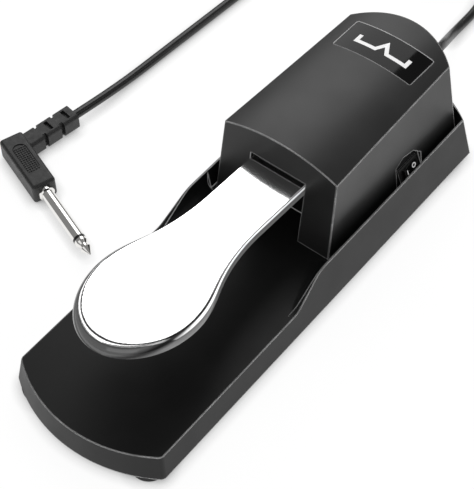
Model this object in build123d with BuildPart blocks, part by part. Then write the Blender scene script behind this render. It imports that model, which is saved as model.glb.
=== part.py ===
from build123d import *
import os
from math import asin, cos, degrees, pi, radians, sin, tan

# Sustain pedal: a chromed lever on a weighted base, its housing, switch works, cable and plug.
#
# Frame: millimetres, +Z up, +Y from the player's toe end towards the cable end, +X to the right of
# the player, origin on the floor under the middle of the base. Every piece is one node, written as
# parts/NODE.step.

# ---------------------------------------------------------------- driving dimensions
foot_height = 3.0
base_half_width = 43.0  # at the bottom edge
base_corner_y = 116.5  # where the straight sides end
base_bow = 13.5  # how far the front and back bow out
base_lean = 3.8  # inward lean of the walls from bottom edge to rim
base_corner_round = (3.0, 6.0)  # vertical corners, toe end and cable end
rim_z = 27.5
deck_z = 16.5
wall = 2.5
rim_rise = (-24.5, 2.5)  # the rim climbs from deck to full height between these
rim_well_half = (36.5, 38.4)  # inner faces of the rim, at the deck and at its top
rim_well_corner_y, rim_well_bow = 113.3, 11.2  # its rear corners and bowed end
rim_sweep = 10.0  # how far in from the rim its inner face starts to rise, ahead of the cover
edge_round = 0.35

cover_front_y = (12.0, 19.0)  # at the deck, at the shoulder
cover_front_half = (33.5, 31.9)
cover_rear_y = (112.0, 111.5)
cover_rear_half = (36.0, 28.4)
cover_apex_y = (121.0, 122.8)
shoulder_z = 61.0
crest_z = 66.5  # top of the crown at the front edge
crown_radius = 97.0
crown_fall = 2.1  # degrees the crest falls towards the back
mouth_half = 15.6
mouth_top_z = 52.3
badge_size = (43.8, 19.6)
badge_y = 98.3
badge_sheet = 0.9

pivot_y, pivot_z = 90.0, 35.0
lever_tilt = 4.0  # degrees the lever climbs towards the toe
pedal_travel = 6.5  # degrees down from rest to the lower stop
plate_top = 10.2  # lever face above the pivot axis
plate_drop = 5.2  # height of its turned-down edge
plate_sheet = 1.8
toe_centre = -164.0  # centre of the round toe, measured along the lever
channel_half = 12.3
channel_sheet = 2.0
flange_bottom = 1.0  # lower edges of the channel, above the pivot axis
pin_radius = 3.0
running_gap = 0.05
touch_gap = 0.05  # left between parts that meet only when the pedal moves

plate_z = (3.4, 5.0)  # bottom plate, underside and top
plate_rows = [(34.0, -76.0), (34.0, 4.0), (33.5, 78.0)]
cover_rows = [(24.5, 24.5), (21.0, 104.0)]
foot_radius, foot_stem = 8.5, 4.0
foot_x, foot_rows = 32.0, (-113.5, 104.0)

ear_inner, ear_sheet = 13.5, 2.0  # pivot bracket ears
bracket_half, bracket_reach = 24.0, 10.0
bracket_rows = [(19.5, pivot_y - 6.0), (19.5, pivot_y + 6.0)]
bush_flange_radius = 5.5

spring_y = 44.0
spring_radius, spring_wire = 7.1, 0.9  # to the wire's centre, and the wire's own radius
spring_coils = 5
seat_radius, seat_sheet, stub_radius = 9.4, 2.0, 5.8

stop_y, stop_half, stop_depth = 30.0, 12.5, 7.0
stop_pad = 2.8

board_centre_y, board_size, board_sheet = 66.0, (29.0, 23.0), 1.6
board_top = 21.6
board_rows = [(11.5, 57.5), (11.5, 74.5)]
micro_y, micro_half, micro_top = (55.0, 77.0), 4.0, 35.6
leaf_hinge = (75.0, 36.6)
leaf_length, leaf_sheet, leaf_half, leaf_curl = 16.2, 0.4, 2.8, 0.8
plunger_y, plunger_radius, plunger_top = 71.0, 1.4, 37.6

switch_centre = (33.2, 75.3, 22.4)  # middle of the pocket floor the rocker frame sits on
switch_tip = 20.0  # degrees the switch faces upwards
bezel_size, bezel_sheet = (15.0, 8.5), 1.4
rocker_opening = (11.8, 6.0)
rocker_swing = 8.0  # degrees either side of level
rocker_axis_h = -0.4

cable_radius = 2.4
cable_exit_z = 22.5
clamp_y, clamp_half, clamp_depth = 107.0, 11.0, 8.0
coil_centre, coil_radius, coil_pitch, coil_turns = (-66.0, 244.0), 46.0, 6.0, 2.5

plug_corner = (-139.15, -19.9)  # outer end of the plug's body, in plan
plug_heading = -19.6  # degrees, in plan, of the plug's pin
plug_axis_z = 6.3
plug_body = (37.0, 12.6, 12.0)
relief_x = 6.0  # where the strain relief leaves the plug's body
sleeve_radius = 3.175  # quarter-inch plug
pin_reach = 46.0  # metal standing out of the plug's body

screw_radius, small_screw_radius = 1.5, 1.2
thread_gap = 0.02
head_radius, small_head_radius, head_height = 2.7, 2.2, 1.7
stud_rows = [-124.0, -94.0, -14.0]  # along the lever
stud_radius = 1.4


def between(pair, share):
    """The value a share of the way along a pair."""
    return pair[0] + (pair[1] - pair[0]) * share


def mirrored(spots):
    """Each spot on the right and its twin on the left."""
    return [(side * x, y) for x, y in spots for side in (1, -1)]


# ---------------------------------------------------------------- shared planes
tilt_sin, tilt_cos = sin(radians(lever_tilt)), cos(radians(lever_tilt))
# Lever plane: x across, y back along the lever, z out of its face, origin on the pivot.
lever_plane = Plane(origin=(0, pivot_y, pivot_z), x_dir=(1, 0, 0), z_dir=(0, tilt_sin, tilt_cos))
# Lever side plane: x back along the lever, y out of its face.
lever_side = Plane(
    origin=(0, pivot_y, pivot_z), x_dir=(0, tilt_cos, -tilt_sin), z_dir=(1, 0, 0)
)
# Crown plane: square to the axis of the cover's crowned top.
crown_plane = Plane(
    origin=(0, cover_front_y[1], crest_z - crown_radius),
    x_dir=(1, 0, 0),
    z_dir=(0, cos(radians(crown_fall)), -sin(radians(crown_fall))),
)
# Switch plane: x back, y up the slope of the pocket floor, z out of it.
switch_plane = Plane(
    origin=switch_centre,
    x_dir=(0, 1, 0),
    z_dir=(cos(radians(switch_tip)), 0, sin(radians(switch_tip))),
)
# Plug plane: x along the plug's pin, y towards its cable, origin at the body's outer end.
plug_plane = Plane(
    origin=(*plug_corner, plug_axis_z),
    x_dir=(cos(radians(plug_heading)), sin(radians(plug_heading)), 0),
    z_dir=(0, 0, 1),
)
deck_plane = Plane.XY.offset(deck_z)

# ---------------------------------------------------------------- shared outlines and shapes


def base_outline(height, inset):
    """Base in plan at a height above its bottom edge: straight sides, bowed ends."""
    lean = inset + base_lean * height / (rim_z - foot_height)
    half, corner = base_half_width - lean, base_corner_y - lean
    with BuildSketch() as outline:
        with BuildLine():
            Line((half, -corner), (half, corner))
            ThreePointArc((half, corner), (0, corner + base_bow), (-half, corner))
            Line((-half, corner), (-half, -corner))
            ThreePointArc((-half, -corner), (0, -corner - base_bow), (half, -corner))
        make_face()
        corners = outline.vertices().sort_by(Axis.Y)
        fillet(corners[:2], base_corner_round[0])
        fillet(corners[2:], base_corner_round[1])
    return outline.sketch


def cover_outline(z, inset):
    """Cover in plan at a height: flat front, tapering sides, bowed back."""
    share = (z - deck_z) / (shoulder_z - deck_z)
    front, rear = between(cover_front_y, share) + inset, between(cover_rear_y, share) - inset
    front_half = between(cover_front_half, share) - inset
    rear_half = between(cover_rear_half, share) - inset
    apex = between(cover_apex_y, share) - inset
    with BuildSketch() as outline:
        with BuildLine():
            Line((-front_half, front), (front_half, front))
            Line((front_half, front), (rear_half, rear))
            ThreePointArc((rear_half, rear), (0, apex), (-rear_half, rear))
            Line((-rear_half, rear), (-front_half, front))
        make_face()
        corners = outline.vertices().sort_by(Axis.Y)
        fillet(corners[:2], 0.6)
        fillet(corners[2:], 5.0)
    return outline.sketch


def cover_block(inset):
    """Solid inside the cover's faces, each moved inwards by the inset."""
    with BuildPart() as block:
        for z in (deck_z, crest_z + 4):
            with BuildSketch(Plane.XY.offset(z)):
                add(cover_outline(z, inset))
        loft()
        with BuildSketch(crown_plane):
            Circle(crown_radius - inset)
        extrude(amount=crown_radius * 2, both=True, mode=Mode.INTERSECT)
    return block.part


def lever_outline(inset, flare, rear):
    """Lever plate in its own plane: elliptical toe, waist, straight arm."""
    arm = 14.5 - inset + flare * 0.13
    half = 24.4 - inset + flare * 0.52
    nose = 28.8 - inset + flare
    waist_y, neck_y = toe_centre + 25.0, -105.0
    with BuildSketch() as outline:
        with BuildLine():
            tip = EllipticalCenterArc((0, toe_centre), half, nose, start_angle=270, arc_size=90)
            waist = (arm + (half - arm) * 0.47, waist_y)
            Spline(tip @ 1, waist, (arm, neck_y), tangents=((0, 1), (0, 1)))
            Line((arm, neck_y), (arm, rear))
            Line((arm, rear), (0, rear))
            mirror(about=Plane.YZ)
        make_face()
    return outline.sketch


def lever_block(inset, rear):
    """Solid of the lever plate's outside, or of its hollow when inset."""
    full_flare, steps = 6.3, 4
    with BuildPart() as block:
        for step in range(steps + 1):
            turn = radians(90 * step / steps)
            flare = full_flare * cos(turn)
            height = plate_top - plate_drop + (plate_drop - inset) * sin(turn)
            with BuildSketch(lever_plane.offset(height)):
                add(lever_outline(inset, flare, rear))
        loft()
        if inset:
            with BuildSketch(lever_plane.offset(plate_top - plate_drop)):
                add(lever_outline(inset, full_flare, rear))
            extrude(amount=-1)
    return block.part


def pan_screws(spots, seat, reach, shank, head, up=False):
    """Pan-head screws seated at a height; up=True points the shanks upwards."""
    turn = 1 if up else -1
    with BuildPart() as screws:
        with BuildSketch(Plane.XY.offset(seat)):
            with Locations(*spots):
                Circle(shank)
        extrude(amount=turn * reach)
        with BuildSketch(Plane.XY.offset(seat)):
            with Locations(*spots):
                Circle(head)
        extrude(amount=-turn * head_height)
        outer = screws.faces().filter_by(Axis.Z).group_by(Axis.Z)[0 if up else -1]
        fillet(outer.edges(), 0.5)
        with BuildSketch(Plane.XY.offset(seat - turn * head_height)):
            with Locations(*spots):
                Rectangle(head * 1.2, 0.6)
                Rectangle(0.6, head * 1.2)
        extrude(amount=turn * 0.9, mode=Mode.SUBTRACT)
    return screws


pieces = {}


def keep(name, builder):
    """Files a finished piece under its node name."""
    builder.part.label = name
    pieces[name] = builder.part


# ---------------------------------------------------------------- base tray
cavity_top = deck_z - wall
plate_spots, cover_spots = mirrored(plate_rows), mirrored(cover_rows)
bracket_spots, board_spots = mirrored(bracket_rows), mirrored(board_rows)
clamp_spots = mirrored([(7.6, clamp_y)])
clamp_seat = cable_exit_z - cable_radius
board_seat = board_top - board_sheet
# The lower stop meets the channel's edges when the lever has turned through its travel.
lowest = radians(lever_tilt - pedal_travel)
stop_reach = pivot_y - stop_y + stop_depth / 2
stop_top = pivot_z + stop_reach * tan(lowest) + flange_bottom / cos(lowest) - touch_gap
post_top = stop_top - stop_pad

with BuildPart() as tray_cavity:
    for height in (-1.0, cavity_top - foot_height):
        with BuildSketch(Plane.XY.offset(foot_height + height)):
            add(base_outline(height, wall))
    loft()
    with BuildSketch(Plane.XY.offset(plate_z[1])):
        with Locations(*plate_spots):
            Circle(4.2)
        with GridLocations(46, 44, 2, 5):
            Rectangle(1.6, 40)
        with Locations((0, -62), (0, -24), (0, 38)):
            Rectangle(78, 1.6)
    extrude(amount=deck_z, mode=Mode.SUBTRACT)
    with BuildSketch(Plane.XY.offset(plate_z[1])):
        with Locations(*cover_spots):
            Circle(4.6)
    extrude(amount=cavity_top - plate_z[1])
    with BuildSketch(Plane.XY.offset(cavity_top - 3)):
        with Locations(*bracket_spots):
            Circle(3.2)
    extrude(amount=4, mode=Mode.SUBTRACT)

with BuildPart() as rim_well:
    for z, half in zip((deck_z, rim_z), rim_well_half):
        with BuildSketch(Plane.XY.offset(z)):
            with BuildLine():
                Line((-half, cover_front_y[0]), (half, cover_front_y[0]))
                Line((half, cover_front_y[0]), (half, rim_well_corner_y))
                ThreePointArc(
                    (half, rim_well_corner_y),
                    (0, rim_well_corner_y + rim_well_bow),
                    (-half, rim_well_corner_y),
                )
                Line((-half, rim_well_corner_y), (-half, cover_front_y[0]))
            make_face()
    loft()


def rim_height(share):
    """Height of the rim a share of the way up its S-shaped rise."""
    return deck_z + (rim_z - deck_z) * (1 - cos(pi * share)) / 2


def sweep_section(y, height, reach):
    """Space above the deck at one place along the base, its sides curving up to the rim."""
    half = rim_well_half[1]
    with BuildSketch(Plane.XZ.offset(-y)) as section:
        with BuildLine():
            Line((0, deck_z), (half - reach, deck_z))
            Spline((half - reach, deck_z), (half, height), tangents=((1, 0), (0.25, 1)))
            Line((half, height), (half, rim_z + 30))
            Line((half, rim_z + 30), (0, rim_z + 30))
            mirror(about=Plane.YZ)
        make_face()
    return section.sketch


# Ahead of the cover the deck curves up into the rim instead of meeting a wall.
rise_steps = 4
with BuildPart() as deck_sweep:
    for step in range(rise_steps + 1):
        share = max(step / rise_steps, 0.02)
        add(sweep_section(between(rim_rise, step / rise_steps), rim_height(share), rim_sweep * share))
    add(sweep_section(cover_front_y[0] + 0.5, rim_z, rim_well_half[1] - rim_well_half[0]))
    loft()

with BuildPart() as base_tray:
    for height in (0, rim_z + 1 - foot_height):
        with BuildSketch(Plane.XY.offset(foot_height + height)):
            add(base_outline(height, 0))
    loft()
    with BuildSketch(Plane.YZ):
        with BuildLine():
            Polyline((-140, deck_z), (-140, 60), (140, 60), (140, rim_z), (rim_rise[1], rim_z))
            rise = [
                (between(rim_rise, step / rise_steps), rim_height(step / rise_steps))
                for step in range(rise_steps, -1, -1)
            ]
            Spline(*rise, tangents=((-1, 0), (-1, 0)))
            Line((rim_rise[0], deck_z), (-140, deck_z))
        make_face()
    extrude(amount=60, both=True, mode=Mode.SUBTRACT)
    upper = base_tray.faces().filter_by(lambda face: face.normal_at().Z > 0.5)
    sides = base_tray.faces().filter_by(lambda face: abs(face.normal_at().Z) < 0.3)
    side_edges = {hash(edge) for face in sides for edge in face.edges()}
    fillet([e for face in upper for e in face.edges() if hash(e) in side_edges], edge_round)
    add(rim_well.part, mode=Mode.SUBTRACT)
    add(deck_sweep.part, mode=Mode.SUBTRACT)
    add(tray_cavity.part, mode=Mode.SUBTRACT)
    # Post for the lower stop, posts for the board, and the seat the cable is clamped to.
    with BuildSketch(deck_plane):
        with Locations((0, stop_y)):
            Rectangle(2 * stop_half, stop_depth)
    extrude(amount=post_top - deck_z)
    with BuildSketch(deck_plane):
        with Locations(*board_spots):
            Circle(2.6)
    extrude(amount=board_seat - deck_z)
    with BuildSketch(deck_plane):
        with Locations((0, clamp_y)):
            Rectangle(2 * clamp_half, clamp_depth)
    extrude(amount=clamp_seat - deck_z)
    # Screw holes.
    with BuildSketch(Plane.XY.offset(plate_z[1])):
        with Locations(*plate_spots):
            Circle(screw_radius + thread_gap)
    extrude(amount=8, mode=Mode.SUBTRACT)
    with BuildSketch(Plane.XY.offset(foot_height)):
        with Locations(*cover_spots):
            Circle(screw_radius + 0.2)
    extrude(amount=deck_z, mode=Mode.SUBTRACT)
    with BuildSketch(Plane.XY.offset(deck_z - 4.5)):
        with Locations(*bracket_spots):
            Circle(screw_radius + thread_gap)
    extrude(amount=5, mode=Mode.SUBTRACT)
    with BuildSketch(Plane.XY.offset(deck_z - 1.5)):
        with Locations(*(board_spots + clamp_spots)):
            Circle(small_screw_radius + thread_gap)
    extrude(amount=8, mode=Mode.SUBTRACT)
    # Notch in the back rim for the cable grommet.
    with BuildSketch(Plane.XZ.offset(-118)):
        with Locations((0, cable_exit_z)):
            Circle(4.3)
        with Locations((0, cable_exit_z + 5)):
            Rectangle(8.6, 10)
    extrude(amount=-16, mode=Mode.SUBTRACT)
keep("base_tray", base_tray)

# ---------------------------------------------------------------- bottom plate and feet
with BuildPart() as bottom_plate:
    with BuildSketch(Plane.XY.offset(plate_z[0])):
        add(base_outline(plate_z[1] - foot_height, wall + 0.3))
    extrude(amount=plate_z[1] - plate_z[0])
    with BuildSketch(Plane.XY.offset(plate_z[0])):
        with Locations(*plate_spots):
            Circle(screw_radius + 0.2)
    extrude(amount=plate_z[1] - plate_z[0], mode=Mode.SUBTRACT)
keep("bottom_plate", bottom_plate)

keep("bottom_plate_screws", pan_screws(plate_spots, plate_z[0], 8, screw_radius, head_radius, up=True))
keep("cover_screws", pan_screws(cover_spots, cavity_top, 13, screw_radius, head_radius, up=True))

feet = {
    "foot_front_left": (-foot_x, foot_rows[0]),
    "foot_front_right": (foot_x, foot_rows[0]),
    "foot_rear_left": (-foot_x, foot_rows[1]),
    "foot_rear_right": (foot_x, foot_rows[1]),
    "foot_centre": (0, 0),
}
for foot_name, spot in feet.items():
    with BuildPart() as foot:
        with BuildSketch():
            with Locations(spot):
                Circle(foot_radius)
        extrude(amount=foot_height)
        fillet(foot.faces().sort_by(Axis.Z)[0].edges(), 0.8)
        with BuildSketch(Plane.XY.offset(foot_height)):
            with Locations(spot):
                Circle(foot_stem)
        extrude(amount=plate_z[0] - foot_height)
    keep(foot_name, foot)

# ---------------------------------------------------------------- housing cover
# Recess the rocker switch sits in: a floor square to the switch, with a peaked outline.
pocket_half, pocket_peak = 9.8, 17.5  # half its length, and its height above the deck
pocket_y = switch_centre[1] - 0.7
with BuildPart() as pocket_boss:
    with BuildSketch(Plane.YZ.offset(20)):
        with Locations((switch_centre[1], deck_z)):
            Rectangle(25, 21.5, align=(Align.CENTER, Align.MIN))
    extrude(amount=25)
    with BuildSketch(switch_plane.offset(-1.8)):
        Rectangle(120, 80)
    extrude(amount=60, mode=Mode.INTERSECT)

boss_tops = {cover_rows[0]: 61.0, cover_rows[1]: 58.6}
with BuildPart() as cover_inner_works:
    for row, top in boss_tops.items():
        with BuildSketch(deck_plane):
            with Locations(*mirrored([row])):
                Circle(3.8)
        extrude(amount=top - deck_z)
    with BuildSketch(lever_plane.offset(plate_top + 2.0)):
        with Locations((0, -66.0)):
            Rectangle(26, 12)
    extrude(amount=2.5)
    add(pocket_boss.part)
    add(cover_block(0.5), mode=Mode.INTERSECT)

with BuildPart() as switch_pocket:
    with BuildSketch(Plane.YZ.offset(20)):
        with BuildLine():
            Polyline(
                (pocket_y - pocket_half, deck_z - 1),
                (pocket_y - pocket_half, deck_z + pocket_peak - 2.6),
                (pocket_y - 4, deck_z + pocket_peak),
                (pocket_y + 4, deck_z + pocket_peak - 1.8),
                (pocket_y + pocket_half, deck_z + pocket_peak - 7.4),
                (pocket_y + pocket_half, deck_z - 1),
                (pocket_y - pocket_half, deck_z - 1),
            )
        make_face()
    extrude(amount=25)
    with BuildSketch(switch_plane):
        Rectangle(120, 80)
    extrude(amount=60, mode=Mode.INTERSECT)

with BuildPart() as housing_cover:
    add(cover_block(0))
    shoulder = housing_cover.faces().sort_by(Axis.Z)[-1]
    fillet(shoulder.edges(), edge_round)
    add(cover_block(wall), mode=Mode.SUBTRACT)
    add(cover_inner_works.part)
    add(switch_pocket.part, mode=Mode.SUBTRACT)
    # Mouth the lever comes out of.
    with BuildSketch(Plane.XZ):
        with Locations((0, deck_z - 1)):
            Rectangle(2 * mouth_half, mouth_top_z - deck_z + 1, align=(Align.CENTER, Align.MIN))
    extrude(amount=-20.6, mode=Mode.SUBTRACT)
    # Screw holes, the rocker's window, the grommet's hole and the badge's recess.
    with BuildSketch(deck_plane):
        with Locations(*cover_spots):
            Circle(screw_radius + thread_gap)
    extrude(amount=13, mode=Mode.SUBTRACT)
    with BuildSketch(switch_plane.offset(1)):
        Rectangle(14.0, 7.2)
    extrude(amount=-9, mode=Mode.SUBTRACT)
    with BuildSketch(Plane.XZ.offset(-112)):
        with Locations((0, cable_exit_z)):
            Circle(4.3)
    extrude(amount=-14, mode=Mode.SUBTRACT)
    with BuildSketch(crown_plane):
        Circle(crown_radius + 5)
        Circle(crown_radius - badge_sheet, mode=Mode.SUBTRACT)
    recess_shell = extrude(amount=badge_y * 2, mode=Mode.PRIVATE)
    with BuildSketch(Plane.XY.offset(shoulder_z - 5)):
        with Locations((0, badge_y)):
            RectangleRounded(badge_size[0] + 0.2, badge_size[1] + 0.2, 0.9)
    recess_column = extrude(amount=20, mode=Mode.PRIVATE)
    add(recess_shell & recess_column, mode=Mode.SUBTRACT)
keep("housing_cover", housing_cover)

with BuildPart() as badge_plate:
    with BuildSketch(crown_plane):
        Circle(crown_radius - 0.1)
        Circle(crown_radius - badge_sheet, mode=Mode.SUBTRACT)
    extrude(amount=badge_y * 2)
    with BuildSketch(Plane.XY.offset(shoulder_z - 5)):
        with Locations((0, badge_y)):
            RectangleRounded(*badge_size, 0.8)
    extrude(amount=20, mode=Mode.INTERSECT)
keep("badge_plate", badge_plate)

# ---------------------------------------------------------------- lever
web_under = plate_top - plate_sheet - channel_sheet

with BuildPart() as pedal_plate:
    add(lever_block(0, -8))
    add(lever_block(plate_sheet, -7), mode=Mode.SUBTRACT)
keep("pedal_plate", pedal_plate)

with BuildPart() as lever_channel:
    with BuildSketch(lever_side):
        with BuildLine():
            Polyline(
                (-130, web_under + channel_sheet), (7, web_under + channel_sheet), (7, 0),
                (-7, 0), (-14, flange_bottom), (-100, flange_bottom),
                (-130, web_under - 1), (-130, web_under + channel_sheet),
            )
        make_face()
        Circle(7)
    extrude(amount=channel_half, both=True)
    with BuildSketch(lever_side):
        with Locations((-60, web_under)):
            Rectangle(160, 40, align=(Align.CENTER, Align.MAX))
    extrude(amount=channel_half - channel_sheet, both=True, mode=Mode.SUBTRACT)
    with BuildSketch(lever_side):
        Circle(4 + thread_gap)
    extrude(amount=channel_half, both=True, mode=Mode.SUBTRACT)
    with BuildSketch(lever_plane.offset(web_under)):
        with Locations(*[(0, along) for along in stud_rows]):
            Circle(stud_radius + 0.1)
    extrude(amount=channel_sheet, mode=Mode.SUBTRACT)
keep("lever_channel", lever_channel)

with BuildPart() as lever_studs:
    with BuildSketch(lever_plane.offset(plate_top - plate_sheet)):
        with Locations(*[(0, along) for along in stud_rows]):
            Circle(stud_radius)
    extrude(amount=-(channel_sheet + 3.0))
keep("lever_studs", lever_studs)

with BuildPart() as lever_nuts:
    with BuildSketch(lever_plane.offset(web_under)):
        with Locations(*[(0, along) for along in stud_rows]):
            RegularPolygon(3.1, 6)
            Circle(stud_radius + thread_gap, mode=Mode.SUBTRACT)
    extrude(amount=-2.4)
keep("lever_nuts", lever_nuts)

# ---------------------------------------------------------------- pivot
bracket_sheet = 2.0
bush_sheet = ear_inner - channel_half - 2 * touch_gap
pin_half = ear_inner + ear_sheet + 3.0
clip_x = ear_inner + ear_sheet + 0.2
clip_sheet, groove_radius = 0.9, 2.4

with BuildPart() as pivot_bracket:
    with BuildSketch(deck_plane):
        with Locations((0, pivot_y)):
            RectangleRounded(2 * bracket_half, 2 * bracket_reach, 2)
    extrude(amount=bracket_sheet)
    with BuildSketch(Plane.YZ):
        with Locations((pivot_y, deck_z)):
            Rectangle(2 * bracket_reach, 3, align=(Align.CENTER, Align.MIN))
        with BuildLine():
            Polyline(
                (pivot_y - 10, deck_z + 2), (pivot_y + 10, deck_z + 2), (pivot_y + 6.5, pivot_z),
                (pivot_y - 6.5, pivot_z), (pivot_y - 10, deck_z + 2),
            )
        make_face()
        with Locations((pivot_y, pivot_z)):
            Circle(6.5)
    extrude(amount=ear_inner + ear_sheet, both=True)
    with BuildSketch(Plane.YZ):
        with Locations((pivot_y, deck_z + bracket_sheet)):
            Rectangle(60, 60, align=(Align.CENTER, Align.MIN))
    extrude(amount=ear_inner, both=True, mode=Mode.SUBTRACT)
    with BuildSketch(Plane.YZ):
        with Locations((pivot_y, pivot_z)):
            Circle(pin_radius + thread_gap)
    extrude(amount=ear_inner + ear_sheet, both=True, mode=Mode.SUBTRACT)
    with BuildSketch(deck_plane):
        with Locations(*bracket_spots):
            Circle(screw_radius + 0.2)
    extrude(amount=bracket_sheet, mode=Mode.SUBTRACT)
keep("pivot_bracket", pivot_bracket)

keep(
    "bracket_screws",
    pan_screws(bracket_spots, deck_z + bracket_sheet, 6, screw_radius, head_radius),
)

pin_plane = Plane.YZ.offset(-pin_half)
with BuildPart() as pivot_pin:
    with BuildSketch(pin_plane):
        with Locations((pivot_y, pivot_z)):
            Circle(pin_radius)
    extrude(amount=2 * pin_half)
    chamfer(pivot_pin.faces().filter_by(Axis.X).edges(), 0.5)
    for side in (clip_x, -clip_x - 1.0):
        with BuildSketch(Plane.YZ.offset(side)):
            with Locations((pivot_y, pivot_z)):
                Circle(pin_radius + 1)
                Circle(groove_radius, mode=Mode.SUBTRACT)
        extrude(amount=1.0, mode=Mode.SUBTRACT)
keep("pivot_pin", pivot_pin)

with BuildPart() as pin_clips:
    for side in (clip_x + 0.05, -clip_x - 0.95):
        with BuildSketch(Plane.YZ.offset(side)):
            with Locations((pivot_y, pivot_z)):
                Circle(5.2)
                Circle(groove_radius, mode=Mode.SUBTRACT)
                Rectangle(3.6, 12, align=(Align.CENTER, Align.MIN), mode=Mode.SUBTRACT)
        extrude(amount=clip_sheet)
keep("pin_clips", pin_clips)

for name, side in (("pivot_bush_left", -1), ("pivot_bush_right", 1)):
    with BuildPart() as bush:
        with BuildSketch(Plane.YZ.offset(side * (channel_half - channel_sheet))):
            with Locations((pivot_y, pivot_z)):
                Circle(4)
        extrude(amount=side * channel_sheet)
        with BuildSketch(Plane.YZ.offset(side * channel_half)):
            with Locations((pivot_y, pivot_z)):
                Circle(bush_flange_radius)
        extrude(amount=side * (bush_sheet + touch_gap))
        with BuildSketch(Plane.YZ):
            with Locations((pivot_y, pivot_z)):
                Circle(pin_radius + running_gap)
        extrude(amount=side * 30, mode=Mode.SUBTRACT)
    keep(name, bush)

# ---------------------------------------------------------------- return spring and stops
with BuildPart() as spring_seat:
    with BuildSketch(deck_plane):
        with Locations((0, spring_y)):
            Circle(seat_radius)
    extrude(amount=seat_sheet)
    with BuildSketch(deck_plane):
        with Locations((0, spring_y)):
            Circle(stub_radius)
    extrude(amount=seat_sheet + 4)
    fillet(spring_seat.edges().group_by(Axis.Z)[-1], 1)
keep("spring_seat", spring_seat)

guide_sheet = 1.6
guide_along = (spring_y - pivot_y) / tilt_cos - 0.3
with BuildPart() as spring_guide:
    with BuildSketch(lever_plane.offset(web_under)):
        with Locations((0, guide_along)):
            Circle(seat_radius - 0.6)
    extrude(amount=-guide_sheet)
    with BuildSketch(lever_plane.offset(web_under)):
        with Locations((0, guide_along)):
            Circle(stub_radius - 0.4)
    extrude(amount=-guide_sheet - 3.5)
    fillet(spring_guide.edges().group_by(Axis.Z)[0], 1)
keep("spring_guide", spring_guide)

spring_bottom = deck_z + seat_sheet + spring_wire
spring_top = 42.3 - spring_wire
with BuildPart() as return_spring:
    with BuildLine():
        coil = Helix(
            (spring_top - spring_bottom) / spring_coils,
            spring_top - spring_bottom,
            spring_radius,
            center=(0, spring_y, spring_bottom),
        )
    with BuildSketch(Plane(origin=coil @ 0, z_dir=coil % 0)):
        Circle(spring_wire)
    sweep(path=coil, is_frenet=True)
keep("return_spring", return_spring)

with BuildPart() as upper_stop_felt:
    with BuildSketch(lever_plane.offset(plate_top + touch_gap)):
        with Locations((0, -65.5)):
            RectangleRounded(22, 9, 1)
    extrude(amount=2.0 - touch_gap)
keep("upper_stop_felt", upper_stop_felt)

with BuildPart() as lower_stop_rubber:
    with BuildSketch(Plane.XY.offset(post_top)):
        with Locations((0, stop_y)):
            RectangleRounded(2 * stop_half, stop_depth, 1)
    extrude(amount=stop_pad)
    fillet(lower_stop_rubber.faces().sort_by(Axis.Z)[-1].edges(), 0.6)
keep("lower_stop_rubber", lower_stop_rubber)

# ---------------------------------------------------------------- circuit board and micro switch
with BuildPart() as circuit_board:
    with BuildSketch(Plane.XY.offset(board_seat)):
        with Locations((0, board_centre_y)):
            RectangleRounded(*board_size, 1)
        with Locations(*board_spots):
            Circle(small_screw_radius + 0.2, mode=Mode.SUBTRACT)
    extrude(amount=board_sheet)
keep("circuit_board", circuit_board)
keep(
    "board_screws",
    pan_screws(board_spots, board_top, 6, small_screw_radius, small_head_radius),
)

ear_half = 0.5  # half thickness of the ears that carry the leaf
with BuildPart() as micro_switch_body:
    with BuildSketch(Plane.XY.offset(board_top)):
        with Locations((0, between(micro_y, 0.5))):
            Rectangle(2 * micro_half, micro_y[1] - micro_y[0])
    extrude(amount=micro_top - board_top)
    fillet(micro_switch_body.edges().filter_by(Axis.Z), 0.6)
    for side in (1, -1):
        with BuildSketch(Plane.YZ.offset(side * (micro_half - ear_half))):
            with Locations((leaf_hinge[0], micro_top - 1)):
                Rectangle(3.2, leaf_hinge[1] + 1 - micro_top, align=(Align.CENTER, Align.MIN))
            with Locations(leaf_hinge):
                Circle(1.6)
        extrude(amount=ear_half, both=True)
    with BuildSketch(Plane.YZ):
        with Locations(leaf_hinge):
            Circle(leaf_curl + running_gap)
    extrude(amount=micro_half, both=True, mode=Mode.SUBTRACT)
    with BuildSketch(Plane.XY.offset(micro_top + 3)):
        with Locations((0, plunger_y)):
            Circle(plunger_radius + running_gap)
    extrude(amount=-7.5, mode=Mode.SUBTRACT)
    with BuildSketch(Plane.YZ):
        with Locations((micro_y[0] + 4, board_top + 5), (micro_y[1] - 4, board_top + 5)):
            Circle(1.3)
    extrude(amount=micro_half, both=True, mode=Mode.SUBTRACT)
keep("micro_switch_body", micro_switch_body)

with BuildPart() as micro_switch_plunger:
    with BuildSketch(Plane.XY.offset(plunger_top)):
        with Locations((0, plunger_y)):
            Circle(plunger_radius)
    extrude(amount=-4.6)
    fillet(micro_switch_plunger.edges().group_by(Axis.Z)[-1], plunger_radius - 0.2)
keep("micro_switch_plunger", micro_switch_plunger)

# The leaf rises until its curled end all but touches the lever's web.
curl_y = leaf_hinge[0] - leaf_length * 0.93
web_z = pivot_z + (pivot_y - curl_y) * tan(radians(lever_tilt)) + web_under / tilt_cos
leaf_rise = degrees(asin((web_z - 0.15 - leaf_curl - leaf_hinge[1]) / leaf_length))
leaf_side = Plane(
    origin=(0, *leaf_hinge),
    x_dir=(0, -cos(radians(leaf_rise)), sin(radians(leaf_rise))),
    z_dir=(1, 0, 0),
)
with BuildPart() as micro_switch_leaf:
    with BuildSketch(leaf_side):
        with Locations((leaf_length / 2, 0)):
            Rectangle(leaf_length, leaf_sheet)
        with Locations((0, 0), (leaf_length, 0)):
            Circle(leaf_curl)
    extrude(amount=leaf_half, both=True)
    with BuildSketch(leaf_side):
        Circle(leaf_curl)
    extrude(amount=micro_half, both=True)
keep("micro_switch_leaf", micro_switch_leaf)

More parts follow.
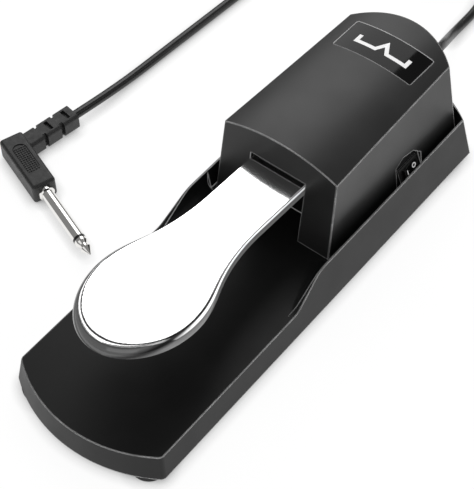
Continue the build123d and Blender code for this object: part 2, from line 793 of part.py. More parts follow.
# ---------------------------------------------------------------- rocker switch
frame_depth, recess_depth = 3.6, 2.7
nib_reach = rocker_opening[1] / 2 + 0.45
axis_plane = Plane(
    origin=switch_plane.from_local_coords((0, -nib_reach, rocker_axis_h)),
    x_dir=-switch_plane.x_dir,
    z_dir=switch_plane.y_dir,
)
with BuildPart() as rocker_frame:
    with BuildSketch(switch_plane):
        RectangleRounded(*bezel_size, 1)
    extrude(amount=bezel_sheet)
    chamfer(rocker_frame.faces().sort_by(Axis.X)[-1].edges(), 0.4)
    with BuildSketch(switch_plane):
        Rectangle(rocker_opening[0] + 2, rocker_opening[1] + 1)
    extrude(amount=-frame_depth)
    with BuildSketch(switch_plane.offset(-recess_depth)):
        Rectangle(*rocker_opening)
    extrude(amount=10, mode=Mode.SUBTRACT)
    with BuildSketch(axis_plane.offset(-0.1)):
        Circle(0.8 + running_gap)
    extrude(amount=2 * nib_reach + 0.2, mode=Mode.SUBTRACT)
keep("rocker_frame", rocker_frame)

# Button profile, level: two raised ends, a low middle; it is turned to rest with one end down.
end_s, end_h, middle_h, foot_s, foot_h = 5.4, 2.5, 1.7, 4.4, -1.3
turned = Plane(
    origin=axis_plane.origin,
    x_dir=axis_plane.x_dir.rotate(Axis((0, 0, 0), axis_plane.z_dir), rocker_swing),
    z_dir=axis_plane.z_dir,
)
with BuildPart() as rocker_button:
    with BuildSketch(turned.offset(nib_reach - rocker_opening[1] / 2 + 0.15)):
        with BuildLine():
            Polyline((end_s, end_h), (foot_s, foot_h), (-foot_s, foot_h), (-end_s, end_h))
            ThreePointArc((-end_s, end_h), (0, middle_h), (end_s, end_h))
        make_face()
    extrude(amount=rocker_opening[1] - 0.3)
    with BuildSketch(turned.offset(0.05)):
        Circle(0.8)
    extrude(amount=2 * nib_reach - 0.1)
keep("rocker_button", rocker_button)

blade_s, blade_length = 3.5, 4.4
with BuildPart() as rocker_terminals:
    with BuildSketch(switch_plane.offset(-frame_depth)):
        with Locations((blade_s, 0), (-blade_s, 0)):
            Rectangle(0.7, 3)
    extrude(amount=-blade_length)
keep("rocker_terminals", rocker_terminals)

# ---------------------------------------------------------------- cable and what holds it
exit_point = (0, 134, cable_exit_z)
floor_entry = (-10.5, 196, cable_radius)
lay_start, lay_end = (-117.5, 150, cable_radius), (-123.6, 62, cable_radius)
relief_length = 29.0
relief_start = (relief_x, plug_body[1] / 2 - 0.5)
relief_lean = 10.4  # degrees off square from the plug's pin
relief_plane = Plane(
    origin=plug_plane.from_local_coords((*relief_start, 0)),
    x_dir=plug_plane.x_dir.rotate(Axis.Z, relief_lean),
    z_dir=plug_plane.y_dir.rotate(Axis.Z, relief_lean),
)
relief_mouth = relief_plane.from_local_coords((0, 0, relief_length))
relief_end = relief_plane.from_local_coords((0, 0, relief_length - 3))
with BuildPart() as cable:
    with BuildLine() as cable_path:
        Line((0, 98, cable_exit_z), exit_point)
        Spline(exit_point, floor_entry, tangents=((0, 1, 0), (0, 1, 0)))
        coil = Helix(
            coil_pitch, coil_pitch * coil_turns, coil_radius, center=(*coil_centre, cable_radius)
        )
        Spline(floor_entry, coil @ 0, tangents=((0, 1, 0), coil % 0))
        lay = Line(lay_start, lay_end)
        Spline(coil @ 1, lay_start, tangents=(coil % 1, lay % 0))
        Spline(lay_end, relief_mouth, tangents=(lay % 1, relief_plane.z_dir * -1))
        Line(relief_mouth, relief_end)
    with BuildSketch(Plane(origin=(0, 98, cable_exit_z), z_dir=(0, 1, 0))):
        Circle(cable_radius)
    sweep(path=cable_path.wires()[0])
keep("cable", cable)

with BuildPart() as cable_grommet:
    for start, end, radius in ((115.4, 118.0, 6.0), (118.0, 129.5, 4.25)):
        with BuildSketch(Plane.XZ.offset(-start)):
            with Locations((0, cable_exit_z)):
                Circle(radius)
        extrude(amount=start - end)
    with BuildSketch(Plane.XZ.offset(-110)):
        with Locations((0, cable_exit_z)):
            Circle(cable_radius + thread_gap)
    extrude(amount=-30, mode=Mode.SUBTRACT)
keep("cable_grommet", cable_grommet)

with BuildPart() as cable_clamp:
    with BuildSketch(Plane.XZ.offset(-(clamp_y - clamp_depth / 2))):
        with Locations((0, clamp_seat)):
            Rectangle(2 * clamp_half, 2.4, align=(Align.CENTER, Align.MIN))
            Rectangle(9.6, 5.6, align=(Align.CENTER, Align.MIN))
            Rectangle(2 * cable_radius, cable_radius, align=(Align.CENTER, Align.MIN), mode=Mode.SUBTRACT)
        with Locations((0, cable_exit_z)):
            Circle(cable_radius + thread_gap, mode=Mode.SUBTRACT)
    extrude(amount=-clamp_depth)
    fillet(cable_clamp.edges().filter_by(Axis.Y).group_by(Axis.Z)[-1], 1.5)
    with BuildSketch(Plane.XY.offset(clamp_seat)):
        with Locations(*clamp_spots):
            Circle(small_screw_radius + 0.2)
    extrude(amount=3, mode=Mode.SUBTRACT)
keep("cable_clamp", cable_clamp)
keep(
    "clamp_screws",
    pan_screws(clamp_spots, clamp_seat + 2.4, 5.5, small_screw_radius, small_head_radius),
)

# Wires: each a short lead with round copper-and-plastic section, ends on the board's face.
wire_radius = 0.7
blade_tip = switch_plane.from_local_coords((0, 0, -frame_depth - blade_length - wire_radius))
wire_runs = {
    "wire_red": ((blade_tip.X, switch_centre[1] + blade_s, blade_tip.Z), (12.3, 66.5)),
    "wire_black": ((blade_tip.X, switch_centre[1] - blade_s, blade_tip.Z), (12.3, 62.5)),
    "wire_white": ((0.9, 97.8, cable_exit_z), (-8.5, 70.0)),
}
for name, (start, (pad_x, pad_y)) in wire_runs.items():
    leaves = (0, -1, 0) if name == "wire_white" else (-1, 0, 0)
    with BuildPart() as wire:
        with BuildLine() as run:
            Spline(start, (pad_x, pad_y, board_top), tangents=(leaves, (0, 0, -1)))
        with BuildSketch(Plane(origin=start, z_dir=leaves)):
            Circle(wire_radius)
        sweep(path=run.wires()[0])
    keep(name, wire)

# ---------------------------------------------------------------- plug
pin_start = plug_body[0]
collar_end, sleeve_end = pin_start + 2.0, pin_start + pin_reach - 11.5
ring_end, tip_end = sleeve_end + 1.6, pin_start + pin_reach
land_end = ring_end + 1.6
relief_size = (10.4, 9.4)
notch_depth = 2.4


def plug_turning(points):
    """Solid turned about the plug's pin from (along, radius) points."""
    with BuildPart() as turning:
        with BuildSketch(plug_plane):
            with BuildLine():
                Polyline((points[0][0], 0), *points, (points[-1][0], 0), (points[0][0], 0))
            make_face()
        revolve(axis=Axis(plug_plane.origin, plug_plane.x_dir))
    return turning


with BuildPart() as plug_shell:
    with BuildSketch(plug_plane.offset(-plug_body[2] / 2)):
        with Locations((plug_body[0] / 2, 0)):
            Rectangle(plug_body[0], plug_body[1])
    extrude(amount=plug_body[2])
    fillet(plug_shell.edges(), 1.6)
    with BuildSketch(relief_plane):
        RectangleRounded(*relief_size, 2)
    extrude(amount=relief_length)
    # Grip pad: a sunk oval with rows of small studs standing in it.
    with BuildSketch(plug_plane.offset(plug_body[2] / 2 - 0.5)):
        with Locations((18.0, 0)):
            SlotOverall(21, 7.4)
    extrude(amount=2, mode=Mode.SUBTRACT)
    with BuildSketch(plug_plane.offset(plug_body[2] / 2 - 0.5)):
        with Locations((18.0, 0)):
            with GridLocations(1.35, 1.35, 13, 5):
                Rectangle(0.75, 0.75)
    extrude(amount=0.45)
    # Notches that let the strain relief bend: in its sides, then in its top and bottom.
    for along in (7.6, 18.0):
        with BuildSketch(relief_plane.offset(along)):
            Rectangle(14, 12)
            Rectangle(relief_size[0] - 2 * notch_depth, 12, mode=Mode.SUBTRACT)
        extrude(amount=2.2, mode=Mode.SUBTRACT)
    for along in (12.8, 23.4):
        with BuildSketch(relief_plane.offset(along)):
            Rectangle(6, 12)
            Rectangle(6, relief_size[1] - 2 * 1.6, mode=Mode.SUBTRACT)
        extrude(amount=2.2, mode=Mode.SUBTRACT)
    with BuildSketch(relief_plane.offset(relief_length - 3)):
        Circle(cable_radius + thread_gap)
    extrude(amount=10, mode=Mode.SUBTRACT)
keep("plug_shell", plug_shell)

keep(
    "plug_sleeve",
    plug_turning(
        [(pin_start, sleeve_radius + 0.9), (collar_end, sleeve_radius + 0.9),
         (collar_end + 0.4, sleeve_radius), (sleeve_end, sleeve_radius)]
    ),
)
keep(
    "plug_insulator",
    plug_turning([(sleeve_end, sleeve_radius), (ring_end, sleeve_radius)]),
)
neck, bulge = 2.1, 2.75
keep(
    "plug_tip",
    plug_turning(
        [(ring_end, sleeve_radius), (land_end, sleeve_radius), (land_end + 1.6, neck),
         (land_end + 2.8, neck), (land_end + 4.0, bulge), (tip_end - 0.5, 0.5), (tip_end, 0.2)]
    ),
)

os.makedirs("parts", exist_ok=True)
for name, piece in pieces.items():
    export_step(piece, f"parts/{name}.step")
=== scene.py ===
from math import cos, pi, radians, sin

import bmesh
import bpy
from mathutils import Matrix, Vector
from mathutils.bvhtree import BVHTree


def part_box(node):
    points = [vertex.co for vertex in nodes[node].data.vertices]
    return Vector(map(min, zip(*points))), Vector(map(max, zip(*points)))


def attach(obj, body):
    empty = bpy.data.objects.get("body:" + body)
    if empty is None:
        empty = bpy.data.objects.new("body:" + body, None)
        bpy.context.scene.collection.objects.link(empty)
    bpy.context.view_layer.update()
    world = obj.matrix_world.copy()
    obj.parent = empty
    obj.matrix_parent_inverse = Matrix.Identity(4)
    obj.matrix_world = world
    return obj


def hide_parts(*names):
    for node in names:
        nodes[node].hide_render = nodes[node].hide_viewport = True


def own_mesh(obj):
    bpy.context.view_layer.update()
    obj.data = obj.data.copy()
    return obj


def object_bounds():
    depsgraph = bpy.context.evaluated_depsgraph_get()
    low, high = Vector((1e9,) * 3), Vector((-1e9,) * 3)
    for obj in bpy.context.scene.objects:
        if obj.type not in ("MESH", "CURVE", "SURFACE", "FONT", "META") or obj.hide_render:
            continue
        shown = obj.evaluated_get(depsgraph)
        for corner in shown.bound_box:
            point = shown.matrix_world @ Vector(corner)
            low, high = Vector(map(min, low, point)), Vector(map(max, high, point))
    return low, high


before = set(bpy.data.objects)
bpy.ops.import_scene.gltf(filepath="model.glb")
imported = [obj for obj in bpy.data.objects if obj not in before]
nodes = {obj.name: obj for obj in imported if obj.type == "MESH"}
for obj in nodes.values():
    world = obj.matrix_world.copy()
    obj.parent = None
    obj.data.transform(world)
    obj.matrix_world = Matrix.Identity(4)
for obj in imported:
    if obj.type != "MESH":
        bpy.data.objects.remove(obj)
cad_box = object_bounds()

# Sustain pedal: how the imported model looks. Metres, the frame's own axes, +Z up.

scene = bpy.context.scene
MM = 0.001
WHITE = (1, 1, 1, 1)

# ---------------------------------------------------------------- camera
camera_azimuth, camera_elevation, camera_roll = 40.49, 52.34, -2.1  # degrees
camera_distance = 0.7322
camera_target = Vector((-4.13, -7.93, 18.70)) * MM
lens_mm, sensor_mm = 116.76, 36.0


def make_camera():
    """Camera beyond the toe end, on the right, looking down at the pedal."""
    az, el, roll = radians(camera_azimuth), radians(camera_elevation), radians(camera_roll)
    back = Vector((sin(az) * cos(el), -cos(az) * cos(el), sin(el)))
    level = Vector((0, 0, 1)).cross(back).normalized()
    upright = back.cross(level)
    right = cos(roll) * level + sin(roll) * upright
    up = -sin(roll) * level + cos(roll) * upright
    data = bpy.data.cameras.new("camera")
    data.lens, data.sensor_width, data.sensor_fit = lens_mm, sensor_mm, "AUTO"
    data.clip_start, data.clip_end = 0.02, 20
    camera = bpy.data.objects.new("camera", data)
    turn = Matrix((right, up, back)).transposed().to_4x4()
    camera.matrix_world = Matrix.Translation(camera_target + back * camera_distance) @ turn
    scene.collection.objects.link(camera)
    scene.camera = camera


# ---------------------------------------------------------------- material helpers
highlight_direction = (0.62, -0.45, 0.64)  # direction of the light that the painted edge highlights are made to face


def grey(value):
    """An even grey as a colour."""
    return (value, value, value)


class Nodes:
    """A material's node tree with short calls for the nodes used here."""

    def __init__(self, name):
        self.material = bpy.data.materials.new(name)
        self.material.use_nodes = True
        self.tree = self.material.node_tree
        self.shader = self.tree.nodes["Principled BSDF"]
        self.coords = self.add("TexCoord").outputs["Object"]

    def add(self, kind):
        """A new node of a kind."""
        return self.tree.nodes.new("ShaderNode" + kind)

    def put(self, socket, value):
        """Gives a socket a constant or another node's output."""
        if isinstance(value, bpy.types.NodeSocket):
            self.tree.links.new(value, socket)
        else:
            socket.default_value = value

    def feed(self, **values):
        """Gives the shader's sockets their values; underscores stand for spaces."""
        for key, value in values.items():
            self.put(self.shader.inputs[key.replace("_", " ")], value)

    def noise(self, per_metre, detail=4.0, rough=0.55, stretch=None):
        """Cloudy pattern of a fineness, drawn out along an axis by a stretch."""
        vector = self.coords
        if stretch:
            mapping = self.add("Mapping")
            self.put(mapping.inputs["Scale"], stretch)
            self.put(mapping.inputs["Vector"], vector)
            vector = mapping.outputs["Vector"]
        node = self.add("TexNoise")
        self.put(node.inputs["Scale"], per_metre)
        self.put(node.inputs["Detail"], detail)
        self.put(node.inputs["Roughness"], rough)
        self.put(node.inputs["Vector"], vector)
        return node.outputs["Fac"]

    def span(self, value, low, high, start=0.3, end=0.7):
        """Value from start..end stretched to low..high."""
        node = self.add("MapRange")
        self.put(node.inputs["From Min"], start)
        self.put(node.inputs["From Max"], end)
        self.put(node.inputs["To Min"], low)
        self.put(node.inputs["To Max"], high)
        self.put(node.inputs["Value"], value)
        return node.outputs["Result"]

    def blend(self, share, start, end, kind="RGBA"):
        """From start to end as the share goes from 0 to 1; each an output or a constant."""
        node = self.add("Mix")
        node.data_type = kind
        self.put(node.inputs["A"], start)
        self.put(node.inputs["B"], end)
        self.put(node.inputs["Factor"], share)
        return node.outputs["Result"]

    def tint(self, value, low, high):
        """Colour between two as the value goes from 0 to 1."""
        return self.blend(value, (*low, 1), (*high, 1))

    def maths(self, kind, *values):
        """Result of a sum on outputs or numbers."""
        node = self.add("Math")
        node.operation = kind
        for socket, value in zip(node.inputs, values):
            self.put(socket, value)
        return node.outputs["Value"]

    def bump(self, height, strength, distance):
        """Small relief from a pattern."""
        node = self.add("Bump")
        self.put(node.inputs["Strength"], strength)
        self.put(node.inputs["Distance"], distance)
        self.put(node.inputs["Height"], height)
        self.feed(Normal=node.outputs["Normal"])

    def dot(self, a, b):
        """Dot product of two directions, each an output or three numbers."""
        node = self.add("VectorMath")
        node.operation = "DOT_PRODUCT"
        for socket, value in zip(node.inputs, (a, b)):
            self.put(socket, value)
        return node.outputs["Value"]

    def edges(self, radius):
        """Mask for painted highlights: 1 on sharp outer edges that face the highlight direction, 0 on
        flats.
        """
        bevel = self.add("Bevel")
        bevel.samples = 6
        self.put(bevel.inputs["Radius"], radius)
        geometry = self.add("NewGeometry")
        turned = self.dot(bevel.outputs["Normal"], geometry.outputs["Normal"])
        lit = self.dot(bevel.outputs["Normal"], highlight_direction)
        corner = self.span(turned, 1.0, 0.0, 0.95, 0.998)
        return self.maths("MULTIPLY", corner, self.span(lit, 0.15, 1.0, 0.1, 0.6))


# ---------------------------------------------------------------- materials
def moulded_plastic(name, low, high, rough, grain=0.12, highlight_grey=0.06, shine=0.5):
    """Satin injection-moulded plastic: fine spark texture, faint cloudiness, and a painted highlight
    with a slight glow along sharp edges that face the light.
    """
    m = Nodes(name)
    cloud = m.noise(28, 3)
    # Painted highlight: sharp edges that face the light are lightened towards the highlight grey,
    # unevenly.
    painted_edge_highlight = m.maths("MULTIPLY", m.edges(0.8 * MM), m.span(m.noise(160, 4), 0.6, 1.0))
    body = m.tint(m.span(cloud, 0, 1), grey(low), grey(high))
    edge_glow = 0.13  # of the highlight grey, a slight glow in the painted highlight along an edge
    m.feed(
        Base_Color=m.blend(painted_edge_highlight, body, (*grey(highlight_grey), 1)),
        Roughness=m.span(m.noise(55, 5), *rough),
        Specular_IOR_Level=shine,
        Emission_Color=WHITE,
        Emission_Strength=m.maths("MULTIPLY", painted_edge_highlight, highlight_grey * edge_glow),
    )
    m.bump(m.noise(2600, 2, 0.6), grain, 0.05 * MM)
    return m.material


def polished_metal(name, colour, rough):
    """Plated metal: near-mirror with faint rub marks and finger haze."""
    m = Nodes(name)
    haze = m.noise(35, 5)
    marks = m.noise(900, 3, 0.6)
    lower = tuple(c * 0.96 for c in colour)
    m.feed(
        Metallic=1.0,
        Base_Color=m.tint(m.span(haze, 0, 1), lower, colour),
        Roughness=m.span(m.maths("MULTIPLY", haze, marks), *rough, 0.12, 0.5),
    )
    m.bump(marks, 0.02, 0.01 * MM)
    return m.material


lever_tilt = radians(4.0)
lever_up = (0.0, sin(lever_tilt), cos(lever_tilt))  # square to the lever's face
plate_drop = 5.2 * MM  # height of the lever's rolled edge
# Painted reflection of the room: the chrome's grey by lean, from the edge's foot (0) to the flat face
# (1).
painted_reflection_bands = [
    (0.00, 0.13), (0.35, 0.16), (0.60, 0.20), (0.82, 0.16), (0.86, 0.10), (0.89, 0.90),
    (0.950, 0.95), (0.960, 0.02), (0.984, 0.03), (0.989, 0.95), (1.00, 0.97),
]
side_band = 0.66  # the painted reflection band at the edge's foot along the right side, where the edge is steep
right_side_from, right_side_full = 0.9, 1.35  # bearings, in radians from the toe to the right
painted_dark_streaks = [(0.45, 1.28, 0.42), (0.25, -1.94, 0.34)]  # painted dark reflection streaks: bearing, slant and width


def banded_chrome():
    """Chromed sheet: a bright flat face, its rolled edge painted with dark and light reflection bands
    and a slight glint on the right side.
    """
    m = Nodes("chrome")
    normal = m.add("TexCoord").outputs["Normal"]
    face_level = max(v.co.dot(Vector(lever_up)) for v in nodes["pedal_plate"].data.vertices)
    ripple = m.span(m.noise(30, 2), -0.006, 0.006)
    lean = m.maths("ADD", m.dot(normal, lever_up), ripple)
    bearing = m.maths("ARCTAN2", m.dot(normal, (1, 0, 0)), m.dot(normal, (0, -1, 0)))
    rolled = m.span(lean, 1.0, 0.0, 0.84, 0.88)
    right_side = m.span(bearing, 0.0, 1.0, right_side_from, right_side_full)

    # Along the right side the painted reflection bands follow the depth below the face instead of the
    # lean.
    height = m.maths("SUBTRACT", m.dot(m.coords, lever_up), face_level)
    by_depth = m.span(height, side_band, 1.0, -plate_drop, 0.0)
    ramp = m.add("ValToRGB")
    stops = ramp.color_ramp.elements
    for place, shade in painted_reflection_bands[1:-1]:
        stops.new(place)
    for stop, (place, shade) in zip(stops, painted_reflection_bands):
        stop.position, stop.color = place, (*grey(shade), 1)
    m.put(ramp.inputs["Fac"], m.blend(right_side, lean, by_depth, "FLOAT"))

    def streak(place, slant, width):
        """1 along a painted dark reflection streak that crosses the rolled edge at a slant, 0 away from
        it.
        """
        centre = m.maths("ADD", m.maths("MULTIPLY", lean, slant), place)
        away = m.maths("ABSOLUTE", m.maths("SUBTRACT", bearing, centre))
        return m.span(away, 1.0, 0.0, width * 0.2, width)

    dark = m.maths("MAXIMUM", *[streak(*shape) for shape in painted_dark_streaks])
    # Painted reflection: the banded grey, darkened along the streaks on the rolled edge, is the
    # chrome's base colour.
    shade = m.blend(m.maths("MULTIPLY", dark, rolled), ramp.outputs["Color"], (*grey(0.012), 1))
    # Painted glint: the bright bands of the rolled edge glow on the right side.
    glint = m.maths("MULTIPLY", m.span(shade, 0.0, 0.5, 0.08, 0.9), rolled)
    marks = m.noise(900, 3, 0.6, (1, 8, 1))
    haze = m.maths("MULTIPLY", m.noise(35, 5), marks)
    m.feed(
        Base_Color=shade,
        Metallic=m.span(lean, 0.25, 1.0, 0.80, 0.92),
        Emission_Color=WHITE,
        Emission_Strength=m.maths("MULTIPLY", glint, right_side),
        Roughness=m.span(haze, 0.10, 0.16, 0.12, 0.5),
    )
    m.bump(marks, 0.02, 0.01 * MM)
    return m.material


def brushed_metal(name, colour):
    """Zinc-plated pressed steel: directional grain and slight staining."""
    m = Nodes(name)
    grain = m.noise(1400, 3, 0.6, (1, 12, 1))
    stain = m.noise(90, 4)
    lower = tuple(c * 0.72 for c in colour)
    m.feed(
        Metallic=1.0,
        Base_Color=m.tint(m.span(stain, 0, 1), lower, colour),
        Roughness=m.span(grain, 0.25, 0.42),
    )
    m.bump(grain, 0.12, 0.02 * MM)
    return m.material


def soft_plastic(name, low, high, rough, relief, per_metre=1800, sheen=0.0):
    """Rubber, PVC, nylon or felt: no edge wear, a matt skin with a fine surface."""
    m = Nodes(name)
    m.feed(
        Base_Color=m.tint(m.span(m.noise(140, 4), 0, 1), low, high),
        Roughness=m.span(m.noise(400, 4), *rough),
        Sheen_Weight=sheen,
        Sheen_Roughness=0.5,
    )
    m.bump(m.noise(per_metre, 4), relief, 0.08 * MM)
    return m.material


def board_green():
    """Circuit board: green mask over copper tracks that show through as lighter lines."""
    m = Nodes("board_green")
    tracks = m.add("TexBrick")
    m.put(tracks.inputs["Scale"], 260)
    m.put(tracks.inputs["Mortar Size"], 0.06)
    m.put(tracks.inputs["Vector"], m.coords)
    shade = m.maths("ADD", m.maths("MULTIPLY", tracks.outputs["Fac"], 0.6), m.noise(300, 3))
    dark_green, light_green = (0.01, 0.07, 0.03), (0.05, 0.28, 0.11)
    m.feed(
        Base_Color=m.tint(m.span(shade, 0, 1, 0.3, 1.2), dark_green, light_green),
        Roughness=m.span(m.noise(200, 3), 0.22, 0.38),
    )
    m.bump(shade, 0.2, 0.04 * MM)
    return m.material


def printed_white():
    """Pad-printed ink: slightly uneven white, with a painted glow that keeps it bright."""
    m = Nodes("printed_white")
    m.feed(
        Base_Color=m.tint(m.span(m.noise(900, 4), 0, 1), grey(0.72), grey(0.85)),
        Roughness=m.span(m.noise(500, 3), 0.35, 0.5),
        # Painted glow: the ink shines a little so that it stays bright white.
        Emission_Color=WHITE,
        Emission_Strength=0.4,
    )
    m.bump(m.noise(3000, 2), 0.08, 0.02 * MM)
    return m.material


def floor_white():
    """Seamless pale floor that glows a little, so that only contact shadows show: the lamps' shadows on
    its faint diffuse colour, and a painted contact shadow where its glow fades near the pedal.
    """
    m = Nodes("floor_white")
    # Painted contact shadow: ambient occlusion dims the glow close to the pedal.
    nearby = m.add("AmbientOcclusion")
    nearby.samples = 8
    m.put(nearby.inputs["Distance"], 6 * MM)
    painted_shadow_factor = m.maths("POWER", nearby.outputs["AO"], 0.7)
    m.feed(
        Base_Color=m.tint(m.span(m.noise(6, 3), 0, 1), grey(0.15), grey(0.18)),
        Roughness=0.9,
        Specular_IOR_Level=0.1,
        Emission_Color=WHITE,
        Emission_Strength=m.maths("MULTIPLY", painted_shadow_factor, 0.93),
    )
    return m.material


def paint(material, *names):
    """Gives CAD nodes a material."""
    for name in names:
        slots = nodes[name].material_slots
        if not slots:
            nodes[name].data.materials.append(material)
        for slot in slots:
            slot.material = material


def paint_nodes():
    """Every CAD node's material, by what the piece is made of."""
    paint(
        moulded_plastic("base_plastic", 0.011, 0.015, (0.38, 0.46), 0.05, 0.90, 0.26),
        "base_tray",
    )
    paint(
        moulded_plastic("cover_plastic", 0.024, 0.030, (0.31, 0.39), 0.08, 0.90, 0.36),
        "housing_cover",
    )
    paint(
        moulded_plastic("badge_gloss", 0.004, 0.006, (0.05, 0.09), 0.01, 0.02, 0.17),
        "badge_plate",
    )
    paint(
        moulded_plastic("switch_plastic", 0.012, 0.02, (0.3, 0.4), 0.06, 0.05),
        "rocker_frame", "rocker_button", "micro_switch_body", "cable_clamp",
    )
    paint(moulded_plastic("powder_coat", 0.02, 0.03, (0.5, 0.62), 0.5, 0.05), "bottom_plate")
    paint(banded_chrome(), "pedal_plate")
    paint(polished_metal("nickel", (0.86, 0.85, 0.83), (0.04, 0.12)), "plug_sleeve", "plug_tip")
    paint(
        brushed_metal("zinc_steel", (0.62, 0.63, 0.65)),
        "lever_channel", "pivot_bracket", "lever_studs", "lever_nuts", "pivot_pin", "pin_clips",
        "bottom_plate_screws", "cover_screws", "bracket_screws", "board_screws", "clamp_screws",
        "rocker_terminals", "micro_switch_leaf",
    )
    paint(
        soft_plastic("rubber", grey(0.012), grey(0.022), (0.7, 0.88), 0.3),
        "foot_front_left", "foot_front_right", "foot_rear_left", "foot_rear_right",
        "foot_centre", "lower_stop_rubber", "cable_grommet",
    )
    paint(
        soft_plastic("nylon", (0.62, 0.60, 0.55), (0.75, 0.73, 0.68), (0.35, 0.5), 0.08),
        "pivot_bush_left", "pivot_bush_right", "spring_guide", "spring_seat",
        "micro_switch_plunger",
    )
    paint(
        soft_plastic("felt", grey(0.06), grey(0.14), (0.85, 1.0), 0.9, 2600, 0.6),
        "upper_stop_felt",
    )
    paint(board_green(), "circuit_board")
    paint(soft_plastic("cable_pvc", grey(0.010), grey(0.016), (0.26, 0.36), 0.05, 900), "cable")
    paint(soft_plastic("plug_pvc", grey(0.022), grey(0.032), (0.42, 0.55), 0.12), "plug_shell")
    paint(soft_plastic("plug_ring", grey(0.008), grey(0.012), (0.3, 0.4), 0.05), "plug_insulator")
    wire_colours = {
        "red": ((0.35, 0.01, 0.01), (0.5, 0.02, 0.02)),
        "black": (grey(0.012), grey(0.02)),
        "white": (grey(0.6), grey(0.75)),
    }
    for colour, (low, high) in wire_colours.items():
        paint(soft_plastic(colour + "_wire", low, high, (0.3, 0.4), 0.05), "wire_" + colour)


# ---------------------------------------------------------------- mesh helpers
def add_mesh(name, verts, faces, material, body, smooth=True):
    """A new piece that moves with a body."""
    mesh = bpy.data.meshes.new(name)
    mesh.from_pydata([tuple(v) for v in verts], [], faces)
    mesh.materials.append(material)
    mesh.update()
    if smooth:
        mesh.shade_smooth()
    piece = bpy.data.objects.new(name, mesh)
    scene.collection.objects.link(piece)
    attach(piece, body)
    return piece


def tube_along(points, radius, sides):
    """Vertices and faces of a round tube along points, with flat ends."""
    verts, faces = [], []
    upward = Vector((0, 0, 1))
    for i, point in enumerate(points):
        ahead = points[min(i + 1, len(points) - 1)] - points[max(i - 1, 0)]
        ahead.normalize()
        side = upward.cross(ahead).normalized()
        up = ahead.cross(side)
        for k in range(sides):
            turn = 2 * pi * k / sides
            verts.append(point + radius * (cos(turn) * side + sin(turn) * up))
    for i in range(len(points) - 1):
        for k in range(sides):
            a, b = i * sides + k, i * sides + (k + 1) % sides
            faces.append((a, b, b + sides, a + sides))
    faces.append(tuple(reversed(range(sides))))
    faces.append(tuple(range(len(verts) - sides, len(verts))))
    return verts, faces


# ---------------------------------------------------------------- printed marks
ink_sheet = 0.05 * MM  # how far the ink stands out of the surface, and is sunk in it


def surface_of(node):
    """Finds where a ray from a point meets a CAD node."""
    tree = BVHTree.FromObject(nodes[node], bpy.context.evaluated_depsgraph_get())
    return lambda start, way: tree.ray_cast(start, way)[0]


def ribbon_plan(path, width, closed):
    """Left and right edges, in plan, of a line of even width with mitred corners."""
    edges = []
    last = len(path) - 1
    for i, here in enumerate(path):
        ways = []
        if i > 0 or closed:
            ways.append((here - path[i - 1]).normalized())
        if i < last or closed:
            ways.append((path[(i + 1) % len(path)] - here).normalized())
        way = sum(ways, Vector((0, 0))).normalized()
        across = Vector((-way.y, way.x))
        reach = width / 2 / max(across.dot(Vector((-ways[0].y, ways[0].x))), 0.3)
        edges.append((here + across * reach, here - across * reach))
    return edges


def printed_line(name, path, width, place, ink, body, closed=False):
    """A thin raised line of ink; place(point, lift) puts a plan point on the surface."""
    verts, faces = [], []
    edges = ribbon_plan(path, width, closed)
    for left, right in edges:
        verts += [place(left, -ink_sheet), place(right, -ink_sheet)]
        verts += [place(right, ink_sheet), place(left, ink_sheet)]
    count = len(edges)
    for i in range(count if closed else count - 1):
        a, b = 4 * i, 4 * ((i + 1) % count)
        for k in range(4):
            n = (k + 1) % 4
            faces.append((a + k, b + k, b + n, a + n))
    if not closed:
        faces.append((3, 2, 1, 0))
        end = 4 * (count - 1)
        faces.append((end, end + 1, end + 2, end + 3))
    add_mesh(name, verts, faces, ink, body, smooth=False)


def finely(points, step):
    """The same path with points no further apart than a step."""
    path = [points[0]]
    for start, end in zip(points, points[1:]):
        parts = max(1, int((end - start).length / step) + 1)
        path += [start.lerp(end, (i + 1) / parts) for i in range(parts)]
    return path


def make_badge_mark(ink):
    """Piano pedal sign on the badge: a line with turned-up ends and a notch in the middle."""
    low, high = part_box("badge_plate")
    centre, half = (low + high) / 2, (high - low) / 2
    meet = surface_of("badge_plate")

    def place(point, lift):
        above = Vector((centre.x + point.x, centre.y + point.y, high.z + 10 * MM))
        return meet(above, Vector((0, 0, -1))) + Vector((0, 0, lift))

    reach, rise, notch = half.x * 0.64, half.y * 0.46, half.x * 0.15
    low_y = -half.y * 0.24
    sign = [
        (-reach, low_y + rise), (-reach, low_y), (-notch, low_y), (0, low_y + rise * 1.25),
        (notch, low_y), (reach, low_y), (reach, low_y + rise),
    ]
    path = finely([Vector(p) for p in sign], 1.2 * MM)
    printed_line("badge_pedal_sign", path, 2.0 * MM, place, ink, "base")


switch_tip = radians(20.0)  # how far the switch faces upwards


def make_rocker_marks(ink):
    """Ring and bar on the two ends of the rocker button."""
    low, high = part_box("rocker_button")
    centre = (low + high) / 2
    meet = surface_of("rocker_button")
    out = Vector((cos(switch_tip), 0, sin(switch_tip)))
    up = Vector((-sin(switch_tip), 0, cos(switch_tip)))

    def placer(middle):
        """Puts points on the button about a place along it."""
        def place(point, lift):
            start = centre + Vector((0, middle + point.x, 0)) + up * point.y + out * 8 * MM
            return meet(start, -out) + out * lift
        return place

    span = (high.y - low.y) / 2 * 0.55
    ring_radius, ring_points, bar_half = 1.1 * MM, 20, 1.2 * MM
    turns = [2 * pi * k / ring_points for k in range(ring_points)]
    ring = [Vector((cos(turn), sin(turn))) * ring_radius for turn in turns]
    printed_line("rocker_ring", ring, 0.6 * MM, placer(span), ink, "rocker", closed=True)
    bar = [Vector((0, -bar_half)), Vector((0, 0)), Vector((0, bar_half))]
    printed_line("rocker_bar", bar, 0.7 * MM, placer(-span), ink, "rocker")


# ---------------------------------------------------------------- return spring
spring_wire = 0.9 * MM  # the wire's radius
spring_turns, closed_turns = 6.5, 1.0  # all of them, and those that lie flat at the ends


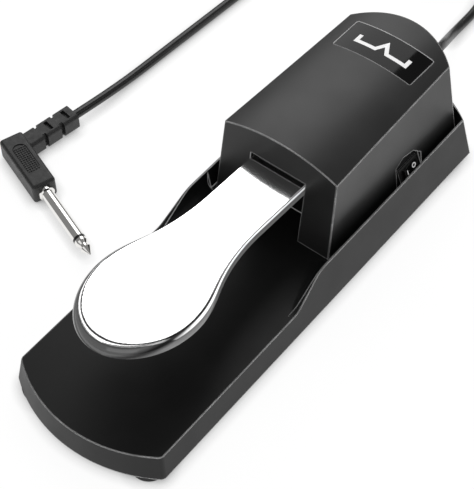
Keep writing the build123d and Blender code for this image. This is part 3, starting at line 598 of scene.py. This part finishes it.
def make_spring():
    """Wire spring with closed ends."""
    low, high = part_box("return_spring")
    centre = (low + high) / 2
    radius = (high.x - low.x) / 2 - spring_wire
    bottom, top = low.z + spring_wire, high.z - spring_wire
    steps = 32
    points = []
    for i in range(int(spring_turns * steps) + 1):
        turn = i / steps
        share = min(max((turn - closed_turns * 0.5) / (spring_turns - closed_turns), 0), 1)
        ease = share * share * (3 - 2 * share)
        climb = ease * 0.35 + share * 0.65
        around = Vector((cos(2 * pi * turn), sin(2 * pi * turn), 0)) * radius
        points.append(Vector((centre.x, centre.y, bottom + (top - bottom) * climb)) + around)
    steel = polished_metal("spring_steel", (0.55, 0.55, 0.56), (0.18, 0.3))
    piece = add_mesh("coil_spring", *tube_along(points, spring_wire, 12), steel, "base")
    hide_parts("return_spring")
    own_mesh(piece)


# ---------------------------------------------------------------- floor and lights
floor_half = 3.0
floor_gap = 0.1 * MM  # below the lowest point of the pedal


def make_floor():
    """Wide pale floor just under the pedal."""
    low, high = cad_box
    centre = (low + high) / 2
    mesh = bmesh.new()
    bmesh.ops.create_grid(mesh, x_segments=8, y_segments=8, size=floor_half)
    data = bpy.data.meshes.new("floor")
    mesh.to_mesh(data)
    mesh.free()
    data.materials.append(floor_white())
    floor = bpy.data.objects.new("floor", data)
    floor.location = (centre.x, centre.y, min(low.z, 0.0) - floor_gap)
    scene.collection.objects.link(floor)


def softbox(name, centre, aim, width, height, radiance):
    """Area light at a place, turned to a point, given the brightness its face shows."""
    data = bpy.data.lights.new(name, "AREA")
    data.shape = "RECTANGLE"
    data.size, data.size_y = width, height
    data.energy = radiance * pi * width * height
    light = bpy.data.objects.new(name, data)
    light.location = Vector(centre)
    light.rotation_mode = "QUATERNION"
    light.rotation_quaternion = (Vector(centre) - Vector(aim)).to_track_quat("Z", "Y")
    scene.collection.objects.link(light)
    return light


def only_for(light, *names):
    """Lets a light reach these nodes alone."""
    receivers = bpy.data.collections.new(light.name + "_receivers")
    for name in names:
        receivers.objects.link(nodes[name])
    light.light_linking.receiver_collection = receivers


surroundings_light, surroundings_seen = 0.25, 1.0  # what lights the pedal, what the camera sees


def make_surroundings():
    """Even white room: it lights the pedal softly, and is seen as pale as the floor."""
    world = bpy.data.worlds.new("studio")
    world.use_nodes = True
    tree = world.node_tree
    background = tree.nodes["Background"].inputs
    background["Color"].default_value = WHITE
    paths = tree.nodes.new("ShaderNodeLightPath")
    strength = tree.nodes.new("ShaderNodeMapRange")
    strength.inputs["To Min"].default_value = surroundings_light
    strength.inputs["To Max"].default_value = surroundings_seen
    tree.links.new(paths.outputs["Is Camera Ray"], strength.inputs["Value"])
    tree.links.new(strength.outputs["Result"], background["Strength"])
    scene.world = world


def make_lights():
    """A panel overhead behind the left side, two fills, and a panel for the chrome alone."""
    panel_x, panel_y, panel_z = -0.535, 0.66, 0.62
    below_panel = (panel_x, panel_y, 0)
    softbox("back_left_panel", (panel_x, panel_y, panel_z), below_panel, 0.83, 0.86, 2.3)
    softbox("front_fill", (0.4, -0.9, 0.75), camera_target, 0.9, 0.6, 0.7)
    softbox("right_fill", (1.0, 0.35, 0.5), camera_target, 0.8, 0.8, 0.8)
    chrome_panel = softbox("chrome_panel", (-0.5, 0.4, 1.0), camera_target, 1.7, 1.7, 1.25)
    only_for(chrome_panel, "pedal_plate")
    scene.view_settings.view_transform = "Standard"


make_camera()
paint_nodes()
make_spring()
white_ink = printed_white()
make_badge_mark(white_ink)
make_rocker_marks(white_ink)
make_floor()
make_lights()
make_surroundings()
